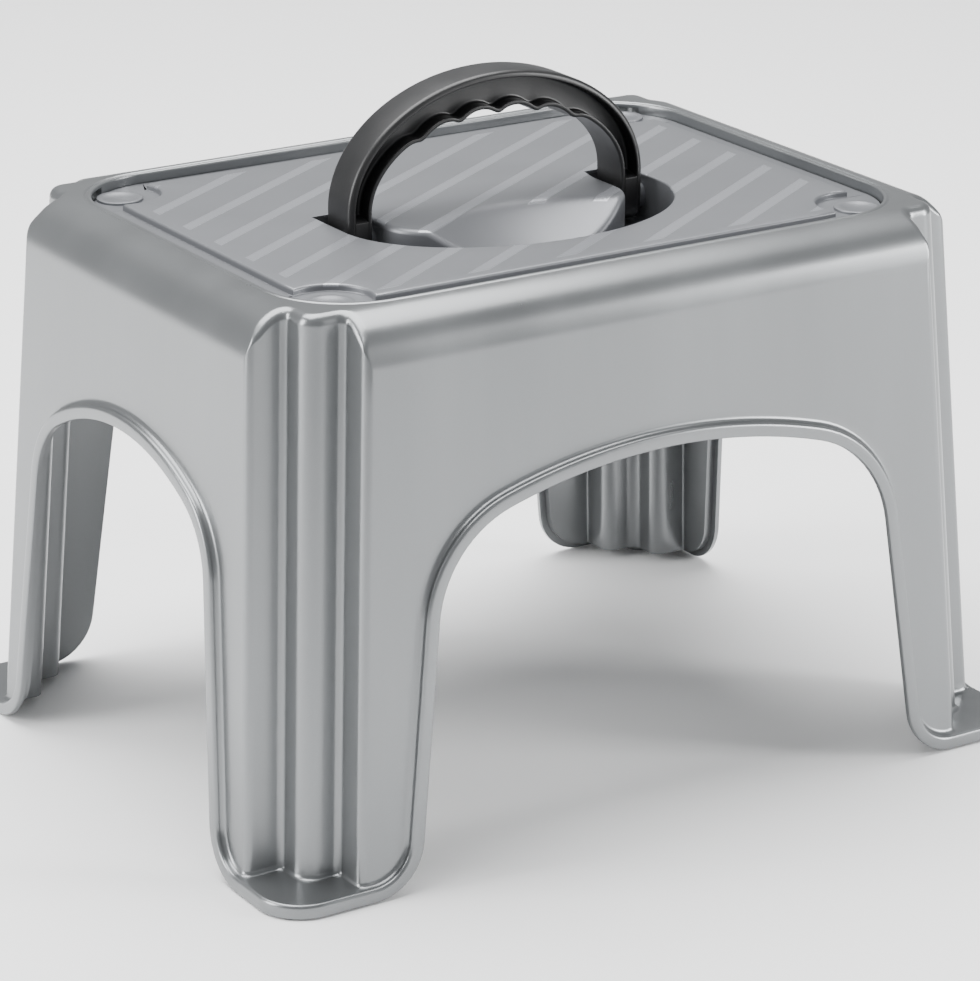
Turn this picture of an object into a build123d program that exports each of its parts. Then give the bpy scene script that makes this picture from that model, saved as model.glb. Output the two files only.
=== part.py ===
"""Step stool: a moulded shell on four hollow legs, a snap-in tread panel with a pocket,
and a carrying handle that folds down into the pocket on two hinge pins.

Millimetres, +Z up, origin on the floor under the middle of the stool.
X runs along the stool, -Y is the front, the side towards which the handle folds.
"""
import os
from math import cos, radians, sin, sqrt

from build123d import *

# ---- driving dimensions: the shell -------------------------------------------------------------
length = 382.0            # over the feet, along X
width = 302.0             # over the feet, along Y
height = 240.0            # floor to the top of the rim
draft = 0.06              # every side leans in by this much per millimetre of height
wall = 2.6                # moulded wall thickness
pad_stand = 0.6           # how far the foot pads stand below the shell

lip_step = 4.0            # how far the edging stands out of the side
lip_band = 6.0            # width of the edging round the arches and feet
foot_corner_r = 20.0      # corner of the foot, seen from above

edge_round = 22.0         # rounding from the sides into the top
top_corner_r = 24.0       # upright corners of the top before the rounding
rim_inset = 23.0          # from the side, at rim height, to the edge of the recess
rim_corner_r = 37.0
rim_drop = 7.0            # from the rim to the deck
deck_thickness = 3.0

notch_depth = 17.0        # how far each leg's upright notch is set back from the sides
notch_reach = 34.0        # how far the notch runs along each side
notch_edge_r = 3.5
notch_rib_r = 8.0
notch_groove_r = 3.0

front_arch_foot = 126.3   # half the gap between the feet, at the floor
front_arch_lean = 0.122   # how much narrower that gap gets per millimetre of height
front_arch_crown = 165.6
front_arch_crown_r = 270.0
front_arch_shoulder_r = 50.0
side_arch_foot = 90.0
side_arch_lean = 0.115
side_arch_crown = 165.2
side_arch_crown_r = 120.0
side_arch_shoulder_r = 36.0
toe_r = 24.0

rib_thickness = 1.8       # stiffening ribs under the deck
rib_depth = 14.0
rib_offset = 8.0          # from the pocket's hole in the deck to the first rib
long_rib_gap = 34.0       # between the two ribs behind the pocket
cross_rib_gap = 32.0      # between the two ribs at each end

slot_length = 14.0        # catch slots in the rim's inner wall, one at each corner
slot_height = 5.0
slot_floor = 0.6          # the slots start this far above the deck

# ---- driving dimensions: the tread panel ---------------------------------------------------------
panel_gap = 0.4           # between the panel's flange and the rim
flange_thickness = 2.5
tread_rise = 3.0          # tread above the flange
tread_margin = 11.0       # from the rim to the foot of the tread's bevel
tread_corner_r = 6.0
tread_bevel = 1.2
scoop_r = 18.0            # round cut at each corner of the tread
scoop_inset = 18.5        # centre of that cut, from the rim's two sides
disc_r = 11.0             # round boss in each cut
disc_rise = 0.9
tongue_length = 13.0
tongue_reach = 1.8        # how far a tongue enters its slot

# ---- driving dimensions: the handle and its pocket -------------------------------------------------
handle_half_width = 74.5
handle_rise = 67.5        # hinge axis to the top of the grip
handle_depth = 20.0       # along Y when the handle stands up
leg_width = 11.2
grip_height = 15.0        # outer face to inner face at the middle of the grip
shoulder_rise = 14.0      # height above the hinge at which the outer curve starts
outer_flange = 3.0
inner_flange = 2.0
web_thickness = 5.0
eye_web = 12.0            # solid height above the hinge, before the hollow sides start
finger_cusps = 5
cusp_pitch = 19.0
cusp_height = 3.6
scallop_r = 14.6

pin_r = 2.5
pin_running_gap = 0.05    # radial, in the handle's eye
pin_press = 0.01          # radial, in the panel's bosses
boss_r = 6.0
boss_gap = 0.5            # between a boss and the handle's leg
pin_seat = 1.6            # how far each pin enters the hump's wall

pocket_gap = 4.5          # round the outside of the folded handle
pocket_floor_gap = 1.2
pocket_back = 13.0        # hinge axis to the pocket's back wall
pocket_wall = 2.2
hump_gap = 4.5            # between the folded handle's legs and the hump
hump_grip_gap = 3.5       # between the folded grip's cusps and the hump
scoop_slope = 28.0        # degrees, finger scoop in the hump
scoop_start = 12.0        # in front of the hinge axis
scoop_bend_r = 139.0
deck_gap = 0.6            # between the pocket and the hole in the deck
flush_gap = 0.0           # folded handle below the tread

# ---- driving dimensions: the foot pads ---------------------------------------------------------------
pad_r = 9.0
pad_inset = 15.2          # pad centre from the outside of the foot, along X and along Y
pad_chamfer = 1.0

# ---- worked out ---------------------------------------------------------------------------------------
foot_x = length / 2
foot_y = width / 2
side_x = foot_x - lip_step
side_y = foot_y - lip_step
rim_x = side_x - draft * height - rim_inset
rim_y = side_y - draft * height - rim_inset
deck_z = height - rim_drop
flange_z = deck_z + flange_thickness
tread_z = flange_z + tread_rise
tread_x = rim_x - tread_margin
tread_y = rim_y - tread_margin
hinge_z = tread_z - flush_gap - handle_depth / 2
pocket_floor_z = hinge_z - handle_depth / 2 - pocket_floor_gap
arch_outer_rise = handle_rise - shoulder_rise
arch_inner_rise = arch_outer_rise - grip_height
leg_inner = handle_half_width - leg_width
pocket_half = handle_half_width + pocket_gap
hump_half = leg_inner - hump_gap
hump_rise = arch_inner_rise - cusp_height - hump_grip_gap
pin_start = hump_half - pin_seat
pin_stop = pocket_half + pocket_wall
pad_top_z = pad_stand + lip_band - wall
hole_half = pocket_half + pocket_wall + deck_gap
hole_rise = arch_outer_rise + pocket_gap + pocket_wall + deck_gap
hole_back = pocket_back + pocket_wall + deck_gap
side_names = {-1: "left", 1: "right"}
end_names = {-1: "front", 1: "rear"}


def ribbed_plan(z, inset):
    """The sides' outline at height z with a notch at each corner, moved inwards by inset."""
    half_x = side_x - draft * z - inset
    half_y = side_y - draft * z - inset
    rib_x = half_x - notch_depth
    rib_y = half_y - notch_depth

    def is_rib(corner):
        return abs(abs(corner.X) - rib_x) < 0.01 and abs(abs(corner.Y) - rib_y) < 0.01

    def is_edge(corner):
        return abs(abs(corner.X) - half_x) < 0.01 or abs(abs(corner.Y) - half_y) < 0.01

    with BuildSketch(Plane.XY.offset(z)) as plan:
        Rectangle(2 * half_x, 2 * (half_y - notch_reach))
        Rectangle(2 * (half_x - notch_reach), 2 * half_y)
        Rectangle(2 * rib_x, 2 * rib_y)
        corners = plan.vertices()
        ribs = corners.filter_by(is_rib)
        edges = corners.filter_by(is_edge)
        grooves = [corner for corner in corners if not is_rib(corner) and not is_edge(corner)]
        fillet(ribs, notch_rib_r - inset)
        fillet([plan.vertices().sort_by_distance(corner)[0] for corner in edges], notch_edge_r - inset)
        fillet([plan.vertices().sort_by_distance(corner)[0] for corner in grooves], notch_groove_r + inset)
    return plan.sketch


def tapered_block(bottom_x, bottom_y, corner_r, low, high):
    """A block with rounded upright corners whose sides follow the draft; sizes at floor level."""
    with BuildPart() as block:
        with BuildSketch(Plane.XY.offset(low)):
            RectangleRounded(2 * (bottom_x - draft * low), 2 * (bottom_y - draft * low), corner_r)
        with BuildSketch(Plane.XY.offset(high)):
            RectangleRounded(2 * (bottom_x - draft * high), 2 * (bottom_y - draft * high), corner_r)
        loft(ruled=True)
    return block


def body_form(inset):
    """The stool's solid outer form, moved inwards by inset on the sides and the top."""
    top = height - inset
    with BuildPart() as ribbed:
        add(ribbed_plan(0, inset))
        add(ribbed_plan(top, inset))
        loft(ruled=True)
    rounded = tapered_block(side_x - inset, side_y - inset, top_corner_r - inset, 0, top)
    with BuildPart() as form:
        add(rounded.part)
        fillet(form.faces().sort_by(Axis.Z)[-1].edges(), edge_round - inset)
        add(ribbed.part, mode=Mode.INTERSECT)
    return form.part


def opening(plane, grow, foot, lean, crown, crown_r, shoulder_r, through, reach):
    """The space through an arch and under the feet, with its outline grown outwards by grow."""
    centre = crown - crown_r
    a = 1 + lean ** 2
    b = foot * lean + centre
    shoulder_z = (b + sqrt(b ** 2 - a * (foot ** 2 + centre ** 2 - crown_r ** 2))) / a
    shoulder = foot - lean * shoulder_z
    toe = foot - lean * pad_stand
    below = -toe_r
    with BuildPart() as space:
        with BuildSketch(plane) as outline:
            with BuildLine():
                Polyline((-shoulder, shoulder_z), (-toe, pad_stand), (-reach, pad_stand), (-reach, below),
                         (reach, below), (reach, pad_stand), (toe, pad_stand), (shoulder, shoulder_z))
                ThreePointArc((shoulder, shoulder_z), (0, crown), (-shoulder, shoulder_z))
            make_face()
            fillet(outline.vertices().sort_by(Axis.Y)[-2:], shoulder_r)
            fillet([outline.vertices().sort_by_distance((side * toe, pad_stand))[0] for side in (-1, 1)], toe_r)
            if grow:
                offset(amount=grow)
        extrude(amount=through, both=True)
    return space.part


def front_opening(grow):
    return opening(Plane.XZ, grow, front_arch_foot, front_arch_lean, front_arch_crown,
                   front_arch_crown_r, front_arch_shoulder_r, width, length)


def side_opening(grow):
    return opening(Plane.YZ, grow, side_arch_foot, side_arch_lean, side_arch_crown,
                   side_arch_crown_r, side_arch_shoulder_r, length, width)


def arch_plan(half, rise, spring, foot):
    """Two straight legs up to spring and a half ellipse above them, as a filled outline."""
    with BuildSketch() as plan:
        with Locations((0, spring)):
            Ellipse(half, rise)
            Rectangle(2 * half, rise, align=(Align.CENTER, Align.MIN), mode=Mode.INTERSECT)
        with Locations((0, foot)):
            Rectangle(2 * half, spring - foot, align=(Align.CENTER, Align.MIN))
    return plan.sketch


def rim_corner_plane(side, end, z):
    """A plane at height z on the middle of the recess's corner arc, with its X along the arc."""
    diagonal = rim_corner_r * sqrt(0.5)
    x = side * (rim_x - rim_corner_r + diagonal)
    y = end * (rim_y - rim_corner_r + diagonal)
    return Plane((x, y, z)).rotated((0, 0, -45 * side * end))


# ---- shell: sides, edging, deck, ribs -------------------------------------------------------------------
inner_form = body_form(wall)
with BuildPart() as outer_form:
    add(body_form(0))

lip_top = max(front_arch_crown, side_arch_crown) + 3 * lip_band
lip_outside = tapered_block(foot_x, foot_y, foot_corner_r, 0, lip_top)
lip_inside = tapered_block(foot_x - wall, foot_y - wall, foot_corner_r - wall, 0, lip_top)

with BuildPart() as edging:
    add(lip_outside.part)
    add(lip_inside.part, mode=Mode.SUBTRACT)
with BuildPart() as step_web:
    add(lip_outside.part)
    add(inner_form, mode=Mode.SUBTRACT)
    add(front_opening(lip_band - wall), mode=Mode.SUBTRACT)
    add(side_opening(lip_band - wall), mode=Mode.SUBTRACT)


def lip_along(reach):
    """The edging and its step where they lie within reach of one pair of arches."""
    with BuildPart() as lip:
        add(edging.part)
        add(step_web.part)
        add(reach, mode=Mode.INTERSECT)
        add(front_opening(0), mode=Mode.SUBTRACT)
        add(side_opening(0), mode=Mode.SUBTRACT)
    return lip.part


with BuildPart() as hollow:
    add(inner_form)
    with BuildSketch(Plane.XY.offset(deck_z - deck_thickness)):
        RectangleRounded(2 * (rim_x + wall), 2 * (rim_y + wall), rim_corner_r + wall)
    extrude(amount=height, mode=Mode.SUBTRACT)

with BuildPart() as ribs:
    rib_z = deck_z - deck_thickness - rib_depth
    first_long = hole_back + rib_offset
    first_cross = hole_half + rib_offset
    for step in range(2):
        with BuildSketch(Plane.XY.offset(rib_z)):
            with Locations((0, first_long + step * long_rib_gap)):
                Rectangle(2 * side_x, rib_thickness)
            with Locations((first_cross + step * cross_rib_gap, 0), (-first_cross - step * cross_rib_gap, 0)):
                Rectangle(rib_thickness, 2 * side_y)
        extrude(amount=rib_depth + deck_thickness / 2)
    add(outer_form.part, mode=Mode.INTERSECT)

with BuildPart() as shell:
    add(outer_form.part)
    add(hollow.part, mode=Mode.SUBTRACT)
    add(front_opening(lip_band - wall), mode=Mode.SUBTRACT)
    add(side_opening(lip_band - wall), mode=Mode.SUBTRACT)
    add(lip_along(front_opening(lip_band)))
    add(lip_along(side_opening(lip_band)))
    add(ribs.part)
    with BuildSketch(Plane.XY.offset(deck_z)):
        RectangleRounded(2 * rim_x, 2 * rim_y, rim_corner_r)
    extrude(amount=height, mode=Mode.SUBTRACT)
    with BuildSketch(Plane.XY.offset(deck_z).rotated((180, 0, 0))):
        add(arch_plan(hole_half, hole_rise, shoulder_rise, -hole_back))
    extrude(amount=2 * rib_depth, both=True, mode=Mode.SUBTRACT)
    for side in (-1, 1):
        for end in (-1, 1):
            with BuildSketch(rim_corner_plane(side, end, deck_z + slot_floor)):
                Rectangle(slot_length, 3 * wall)
            extrude(amount=slot_height, mode=Mode.SUBTRACT)
shell.part.label = "shell"

# ---- tread panel -------------------------------------------------------------------------------------------
pocket_top_z = tread_z - flange_thickness

# finger scoop: a tilted cylinder, kept within the hump's outline
with BuildPart() as scoop:
    slope_axis = (0, -cos(radians(scoop_slope)), -sin(radians(scoop_slope)))
    scoop_centre = (0, -scoop_start - scoop_bend_r * sin(radians(scoop_slope)),
                    tread_z + scoop_bend_r * cos(radians(scoop_slope)))
    with BuildSketch(Plane(scoop_centre, x_dir=(1, 0, 0), z_dir=slope_axis)):
        Circle(scoop_bend_r)
    extrude(amount=handle_rise, both=True)
    with BuildSketch(Plane.XY.offset(pocket_floor_z).rotated((180, 0, 0))):
        add(arch_plan(hump_half, hump_rise, shoulder_rise, -pocket_back))
    extrude(amount=-2 * handle_depth, mode=Mode.INTERSECT)

# the hump's hollow, which keeps a wall's thickness away from the scoop
with BuildPart() as scoop_skin:
    with BuildSketch(Plane(scoop_centre, x_dir=(1, 0, 0), z_dir=slope_axis)):
        Circle(scoop_bend_r + pocket_wall)
    extrude(amount=handle_rise, both=True)
with BuildPart() as hump_space:
    with BuildSketch(Plane.XY.offset(pocket_floor_z - pocket_wall).rotated((180, 0, 0))):
        add(arch_plan(hump_half - pocket_wall, hump_rise - pocket_wall, shoulder_rise, -pocket_back))
    extrude(amount=-(pocket_top_z - pocket_floor_z + pocket_wall))
    add(scoop_skin.part, mode=Mode.SUBTRACT)

with BuildPart() as tread_panel:
    # flange that lies on the deck
    with BuildSketch(Plane.XY.offset(deck_z)):
        RectangleRounded(2 * (rim_x - panel_gap), 2 * (rim_y - panel_gap), rim_corner_r - panel_gap)
    extrude(amount=flange_thickness)
    # raised tread, cut round at its corners
    with BuildSketch(Plane.XY.offset(flange_z)):
        RectangleRounded(2 * tread_x, 2 * tread_y, tread_corner_r)
        with GridLocations(2 * (rim_x - scoop_inset), 2 * (rim_y - scoop_inset), 2, 2):
            Circle(scoop_r, mode=Mode.SUBTRACT)
    extrude(amount=tread_rise)
    chamfer(tread_panel.faces().sort_by(Axis.Z)[-1].edges(), tread_bevel)
    # discs in the corner cuts, trimmed where they would run under the rim
    with BuildSketch(Plane.XY.offset(flange_z)):
        with GridLocations(2 * (rim_x - scoop_inset), 2 * (rim_y - scoop_inset), 2, 2):
            Circle(disc_r)
        RectangleRounded(2 * (rim_x - panel_gap), 2 * (rim_y - panel_gap), rim_corner_r - panel_gap,
                         mode=Mode.INTERSECT)
    extrude(amount=disc_rise)
    # outside of the pocket, through the deck
    with BuildSketch(Plane.XY.offset(deck_z).rotated((180, 0, 0))):
        add(arch_plan(pocket_half + pocket_wall, arch_outer_rise + pocket_gap + pocket_wall,
                      shoulder_rise, -(pocket_back + pocket_wall)))
    extrude(amount=deck_z - pocket_floor_z + pocket_wall)
    # the pocket itself, leaving the hump, which is hollow from below
    with BuildSketch(Plane.XY.offset(pocket_floor_z).rotated((180, 0, 0))):
        add(arch_plan(pocket_half, arch_outer_rise + pocket_gap, shoulder_rise, -pocket_back))
        add(arch_plan(hump_half, hump_rise, shoulder_rise, -pocket_back), mode=Mode.SUBTRACT)
    extrude(amount=-2 * handle_depth, mode=Mode.SUBTRACT)
    add(scoop.part, mode=Mode.SUBTRACT)
    add(hump_space.part, mode=Mode.SUBTRACT)
    # hinge bosses either side of each leg, bored for the pins
    boss_spans = ((hump_half, leg_inner - boss_gap), (handle_half_width + boss_gap, pocket_half))
    for side in (-1, 1):
        for start, stop in boss_spans:
            with BuildSketch(Plane((side * start, 0, hinge_z), x_dir=(0, 1, 0), z_dir=(side, 0, 0))):
                Circle(boss_r)
            extrude(amount=stop - start)
        with BuildSketch(Plane((side * pin_start, 0, hinge_z), x_dir=(0, 1, 0), z_dir=(side, 0, 0))):
            Circle(pin_r)
        extrude(amount=pin_stop - pin_start, mode=Mode.SUBTRACT)
    # snap tongues that enter the slots in the rim
    for side in (-1, 1):
        for end in (-1, 1):
            with BuildSketch(rim_corner_plane(side, end, deck_z + slot_floor)):
                Rectangle(tongue_length, 2 * tongue_reach)
            extrude(amount=flange_thickness - slot_floor)
tread_panel.part.label = "tread_panel"

# ---- handle ---------------------------------------------------------------------------------------------------
spring_z = hinge_z + shoulder_rise
cusp_rise = arch_inner_rise - cusp_height
scallop_drop = sqrt(scallop_r ** 2 - (cusp_pitch / 2) ** 2)
with BuildPart() as handle:
    # arch, with the finger cusps standing into it
    with BuildSketch(Plane.XZ):
        add(arch_plan(handle_half_width, arch_outer_rise, spring_z, hinge_z))
        add(arch_plan(leg_inner, arch_inner_rise, spring_z, hinge_z), mode=Mode.SUBTRACT)
    extrude(amount=handle_depth / 2, both=True)
    with BuildSketch(Plane.XZ):
        with Locations((0, spring_z)):
            Ellipse(leg_inner, arch_inner_rise)
            Ellipse(leg_inner, cusp_rise, mode=Mode.SUBTRACT)
        with Locations((0, spring_z)):
            Rectangle(finger_cusps * cusp_pitch, handle_rise, align=(Align.CENTER, Align.MIN),
                      mode=Mode.INTERSECT)
        for index in range(finger_cusps + 1):
            along = (index - finger_cusps / 2) * cusp_pitch / leg_inner
            upward = sqrt(1 - along ** 2)
            with Locations((along * (leg_inner - scallop_drop), spring_z + upward * (cusp_rise - scallop_drop))):
                Circle(scallop_r, mode=Mode.SUBTRACT)
    extrude(amount=handle_depth / 2, both=True)
    # rounded eye round each hinge pin
    for side in (-1, 1):
        with BuildSketch(Plane((side * leg_inner, 0, hinge_z), x_dir=(0, 1, 0), z_dir=(side, 0, 0))):
            Circle(handle_depth / 2)
        extrude(amount=leg_width)
    # hollow front and back, leaving a web between two flanges
    for face in (-1, 1):
        with BuildSketch(Plane.XZ.offset(face * handle_depth / 2)):
            add(arch_plan(handle_half_width - outer_flange, arch_outer_rise - outer_flange, spring_z,
                          hinge_z + eye_web))
            add(arch_plan(leg_inner + inner_flange, arch_inner_rise + inner_flange, spring_z, hinge_z),
                mode=Mode.SUBTRACT)
        extrude(amount=-face * (handle_depth - web_thickness) / 2, mode=Mode.SUBTRACT)
    # bore for the pins
    with BuildSketch(Plane.YZ.offset(-handle_half_width)):
        with Locations((0, hinge_z)):
            Circle(pin_r + pin_running_gap)
    extrude(amount=2 * handle_half_width, mode=Mode.SUBTRACT)
handle.part.label = "handle"

pieces = {"shell": shell, "tread_panel": tread_panel, "handle": handle}

# ---- hinge pins ------------------------------------------------------------------------------------------------
for side, side_name in side_names.items():
    with BuildPart() as hinge_pin:
        with BuildSketch(Plane((side * pin_start, 0, hinge_z), x_dir=(0, 1, 0), z_dir=(side, 0, 0))):
            Circle(pin_r + pin_press)
        extrude(amount=pin_stop - pin_start)
    hinge_pin.part.label = f"hinge_pin_{side_name}"
    pieces[hinge_pin.part.label] = hinge_pin

# ---- foot pads, under the plate of each foot ------------------------------------------------------------------
for side, side_name in side_names.items():
    for end, end_name in end_names.items():
        with BuildPart() as foot_pad:
            with BuildSketch(Plane.XY):
                with Locations((side * (foot_x - pad_inset), end * (foot_y - pad_inset))):
                    Circle(pad_r)
            extrude(amount=pad_top_z)
            chamfer(foot_pad.faces().sort_by(Axis.Z)[0].edges(), pad_chamfer)
        foot_pad.part.label = f"foot_pad_{end_name}_{side_name}"
        pieces[foot_pad.part.label] = foot_pad

os.makedirs("parts", exist_ok=True)
for name, piece in pieces.items():
    export_step(piece.part, f"parts/{name}.step")
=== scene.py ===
"""Step stool: the moulded shell, the striped tread panel, the folding handle and the small parts."""
import math

import bmesh
import bpy
import numpy as np
from bpy.props import FloatProperty, FloatVectorProperty, PointerProperty
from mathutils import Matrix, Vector


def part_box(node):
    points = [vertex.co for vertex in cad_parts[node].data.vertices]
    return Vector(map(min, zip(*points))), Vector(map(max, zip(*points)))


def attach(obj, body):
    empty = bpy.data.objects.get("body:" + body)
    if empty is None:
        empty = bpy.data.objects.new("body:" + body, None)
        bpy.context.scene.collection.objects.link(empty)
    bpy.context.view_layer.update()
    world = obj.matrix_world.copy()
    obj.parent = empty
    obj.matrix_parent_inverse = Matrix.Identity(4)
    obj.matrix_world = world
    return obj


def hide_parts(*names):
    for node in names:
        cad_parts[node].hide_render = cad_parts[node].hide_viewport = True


bl_info = {
    "name": "Moulded Step Stool",
    "version": (1, 0, 0),
    "blender": (4, 5, 0),
    "location": "3D View > Sidebar > Step Stool",
    "description": "Builds a moulded step stool with a folding handle, piece by piece",
    "category": "Add Mesh",
}

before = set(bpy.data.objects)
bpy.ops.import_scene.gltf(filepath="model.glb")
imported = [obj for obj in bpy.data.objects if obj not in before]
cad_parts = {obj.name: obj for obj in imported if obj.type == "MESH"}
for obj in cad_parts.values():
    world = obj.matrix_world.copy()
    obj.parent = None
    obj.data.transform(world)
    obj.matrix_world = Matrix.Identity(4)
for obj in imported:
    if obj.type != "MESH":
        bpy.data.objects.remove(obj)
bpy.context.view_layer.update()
SHELL_LOW, SHELL_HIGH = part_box("shell")
PANEL_LOW, PANEL_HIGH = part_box("tread_panel")
HANDLE_LOW, HANDLE_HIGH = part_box("handle")
MM = 0.001
QUARTER = math.pi / 2
SMALL = 0.4 * MM  # rounding of the small edges
CUT_COLUMNS = ((10, 28), (51, 69), (89, 107), (133, 151))  # the corner cuts among the tread's 160 points


# ---- sizes and colours -------------------------------------------------------------------------

def length_of(name, description, default):
    """A length in metres that a user can change."""
    return FloatProperty(name=name, description=description, default=default, unit="LENGTH", min=0.0,
                         precision=4)


def angle_of(name, description, degrees):
    """An angle that a user can change."""
    return FloatProperty(name=name, description=description, default=math.radians(degrees), subtype="ANGLE")


def slope_of(name, description, default):
    """A slope, as a plain number that a user can change."""
    return FloatProperty(name=name, description=description, default=default)


def colour_of(name, description, default):
    """A linear colour."""
    return FloatVectorProperty(name=name, description=description, default=default, subtype="COLOR", size=3,
                               min=0.0, max=1.0)


class ShellSizes(bpy.types.PropertyGroup):
    wall: length_of("Wall", "Thickness of the moulding", 2.6 * MM)
    draft: slope_of("Draft", "How far the sides lean in for each metre of height", 0.06)
    lip_step: length_of("Lip step", "How far the edging stands out of the sides", 4.0 * MM)
    lip_band: length_of("Lip band", "Width of the edging", 6.0 * MM)
    lip_fillet: length_of("Lip fillet", "Hollow between the side and the edging", 2.2 * MM)
    lip_round: length_of("Lip rounding", "Rounding of the edging", 1.6 * MM)
    foot_corner: length_of("Foot corner", "Corner radius of a foot seen from above", 20 * MM)
    edge_round: length_of("Edge rounding", "Rounding from the sides into the top", 22 * MM)
    top_corner: length_of("Top corner", "Radius of the top's upright corners", 24 * MM)
    rim_inset: length_of("Rim inset", "From the side to the recess, at the rim's height", 23 * MM)
    rim_corner: length_of("Rim corner", "Corner radius of the recess", 37 * MM)
    rim_drop: length_of("Rim drop", "From the rim down to the deck", 7 * MM)
    deck: length_of("Deck", "Thickness of the deck under the tread", 3 * MM)
    notch_depth: length_of("Notch depth", "How far a leg's notch is set back", 17 * MM)
    notch_reach: length_of("Notch reach", "How far a notch runs along each side", 34 * MM)
    notch_edge: length_of("Notch edge", "Rounding at the mouth of a notch", 3.5 * MM)
    notch_groove: length_of("Notch groove", "Hollow at the bottom of a notch", 3.0 * MM)
    notch_rib: length_of("Notch rib", "Rounding of the rib between the grooves", 8.0 * MM)
    notch_top: length_of("Notch top", "Rounding where a notch runs out at the top", 4.5 * MM)
    bead_width: length_of("Bead width", "Width of the fine bead round the recess", 1.4 * MM)
    bead_groove: length_of("Bead groove", "Depth of the fine groove behind the bead", 0.45 * MM)
    groove_width: length_of("Groove width", "Width of that groove", 2.4 * MM)
    land: length_of("Land", "Width of the flat top beside the recess", 4 * MM)
    rim_crest: length_of("Rim crest", "Rounding of the recess's edge", 0.8 * MM)
    lip_tip: length_of("Lip tip", "Rounding of the edging's outer edge", 0.7 * MM)
    slot_length: length_of("Slot length", "Length of the catch slot in each corner", 14 * MM)
    slot_floor: length_of("Slot floor", "Height of the slots above the deck", 0.6 * MM)
    slot_height: length_of("Slot height", "Height of the slots", 5.0 * MM)
    hole_gap: length_of("Hole gap", "Between the pocket and the hole in the deck", 0.6 * MM)
    rib_thickness: length_of("Rib thickness", "Thickness of the ribs under the deck", 1.8 * MM)
    rib_depth: length_of("Rib depth", "Depth of the ribs under the deck", 14 * MM)
    rib_offset: length_of("Rib offset", "From the deck's hole to the nearest ribs", 8.0 * MM)
    long_rib_gap: length_of("Long rib gap", "Between the two ribs behind the pocket", 34 * MM)
    cross_rib_gap: length_of("Cross rib gap", "Between the two ribs at each end", 32 * MM)
    front_foot: length_of("Front arch foot", "Half the gap between the feet, front and rear", 126.3 * MM)
    front_lean: slope_of("Front arch lean", "How fast that gap narrows upwards", 0.122)
    front_crown: length_of("Front arch crown", "Height of the front and rear arches", 165.6 * MM)
    front_crown_r: length_of("Front arch radius", "Radius of the crown", 270 * MM)
    front_shoulder: length_of("Front arch shoulder", "Radius of the shoulders", 50 * MM)
    side_foot: length_of("Side arch foot", "Half the gap between the feet at the sides", 90 * MM)
    side_lean: slope_of("Side arch lean", "How fast that gap narrows upwards", 0.115)
    side_crown: length_of("Side arch crown", "Height of the side arches", 165.2 * MM)
    side_crown_r: length_of("Side arch radius", "Radius of the crown", 120 * MM)
    side_shoulder: length_of("Side arch shoulder", "Radius of the shoulders", 36 * MM)
    toe: length_of("Toe", "Radius from a leg's edging into its foot", 24 * MM)


class PanelSizes(bpy.types.PropertyGroup):
    gap: length_of("Gap", "Between the panel and the rim", 0.4 * MM)
    flange: length_of("Flange", "Thickness of the flange round the tread", 2.5 * MM)
    wall: length_of("Wall", "Thickness of the moulding", 2.2 * MM)
    margin: length_of("Margin", "From the rim to the foot of the tread's bevel", 11 * MM)
    bevel: length_of("Bevel", "Rounding of the tread's edge", 1.2 * MM)
    cut_r: length_of("Corner cut", "Radius of the round cut in each corner", 18 * MM)
    cut_inset: length_of("Cut inset", "From the rim's sides to the centre of a cut", 18.5 * MM)
    disc_r: length_of("Disc radius", "Radius of the boss in each cut", 10.2 * MM)
    disc_rise: length_of("Disc rise", "Height of that boss", 1.1 * MM)
    disc_border: length_of("Disc border", "Width of the border round its shallow dish", 3 * MM)
    ease: length_of("Easing", "Length over which the outline's sharp corners are eased", 1.2 * MM)
    pocket_gap: length_of("Pocket gap", "Round the outside of the folded handle", 4.5 * MM)
    pocket_back: length_of("Pocket back", "From the hinge to the pocket's back wall", 13 * MM)
    pocket_edge: length_of("Pocket edge", "Rounding of the pocket's mouth", 1.0 * MM)
    floor_fillet: length_of("Floor fillet", "Hollow round the pocket's floor", 2.0 * MM)
    hump_gap: length_of("Hump gap", "Between the folded legs and the hump", 4.5 * MM)
    grip_gap: length_of("Grip gap", "Between the folded grip's cusps and the hump", 3.5 * MM)
    hump_edge: length_of("Hump edge", "Rounding of the hump's edge", 2.6 * MM)
    hump_fade: length_of("Hump fade", "Length over which that rounding runs out at the back", 9 * MM)
    scoop_slope: angle_of("Scoop slope", "Slope of the finger scoop", 28)
    scoop_start: length_of("Scoop start", "In front of the hinge", 12 * MM)
    scoop_bend: length_of("Scoop bend", "Radius of the scoop across the hump", 139 * MM)
    scoop_ease: length_of("Scoop ridge", "Rounding of the ridge at the top of the scoop", 0.5 * MM)
    boss_r: length_of("Boss radius", "Hinge bosses beside the legs", 6 * MM)
    boss_gap: length_of("Boss gap", "Between a boss and a leg", 0.5 * MM)


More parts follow.
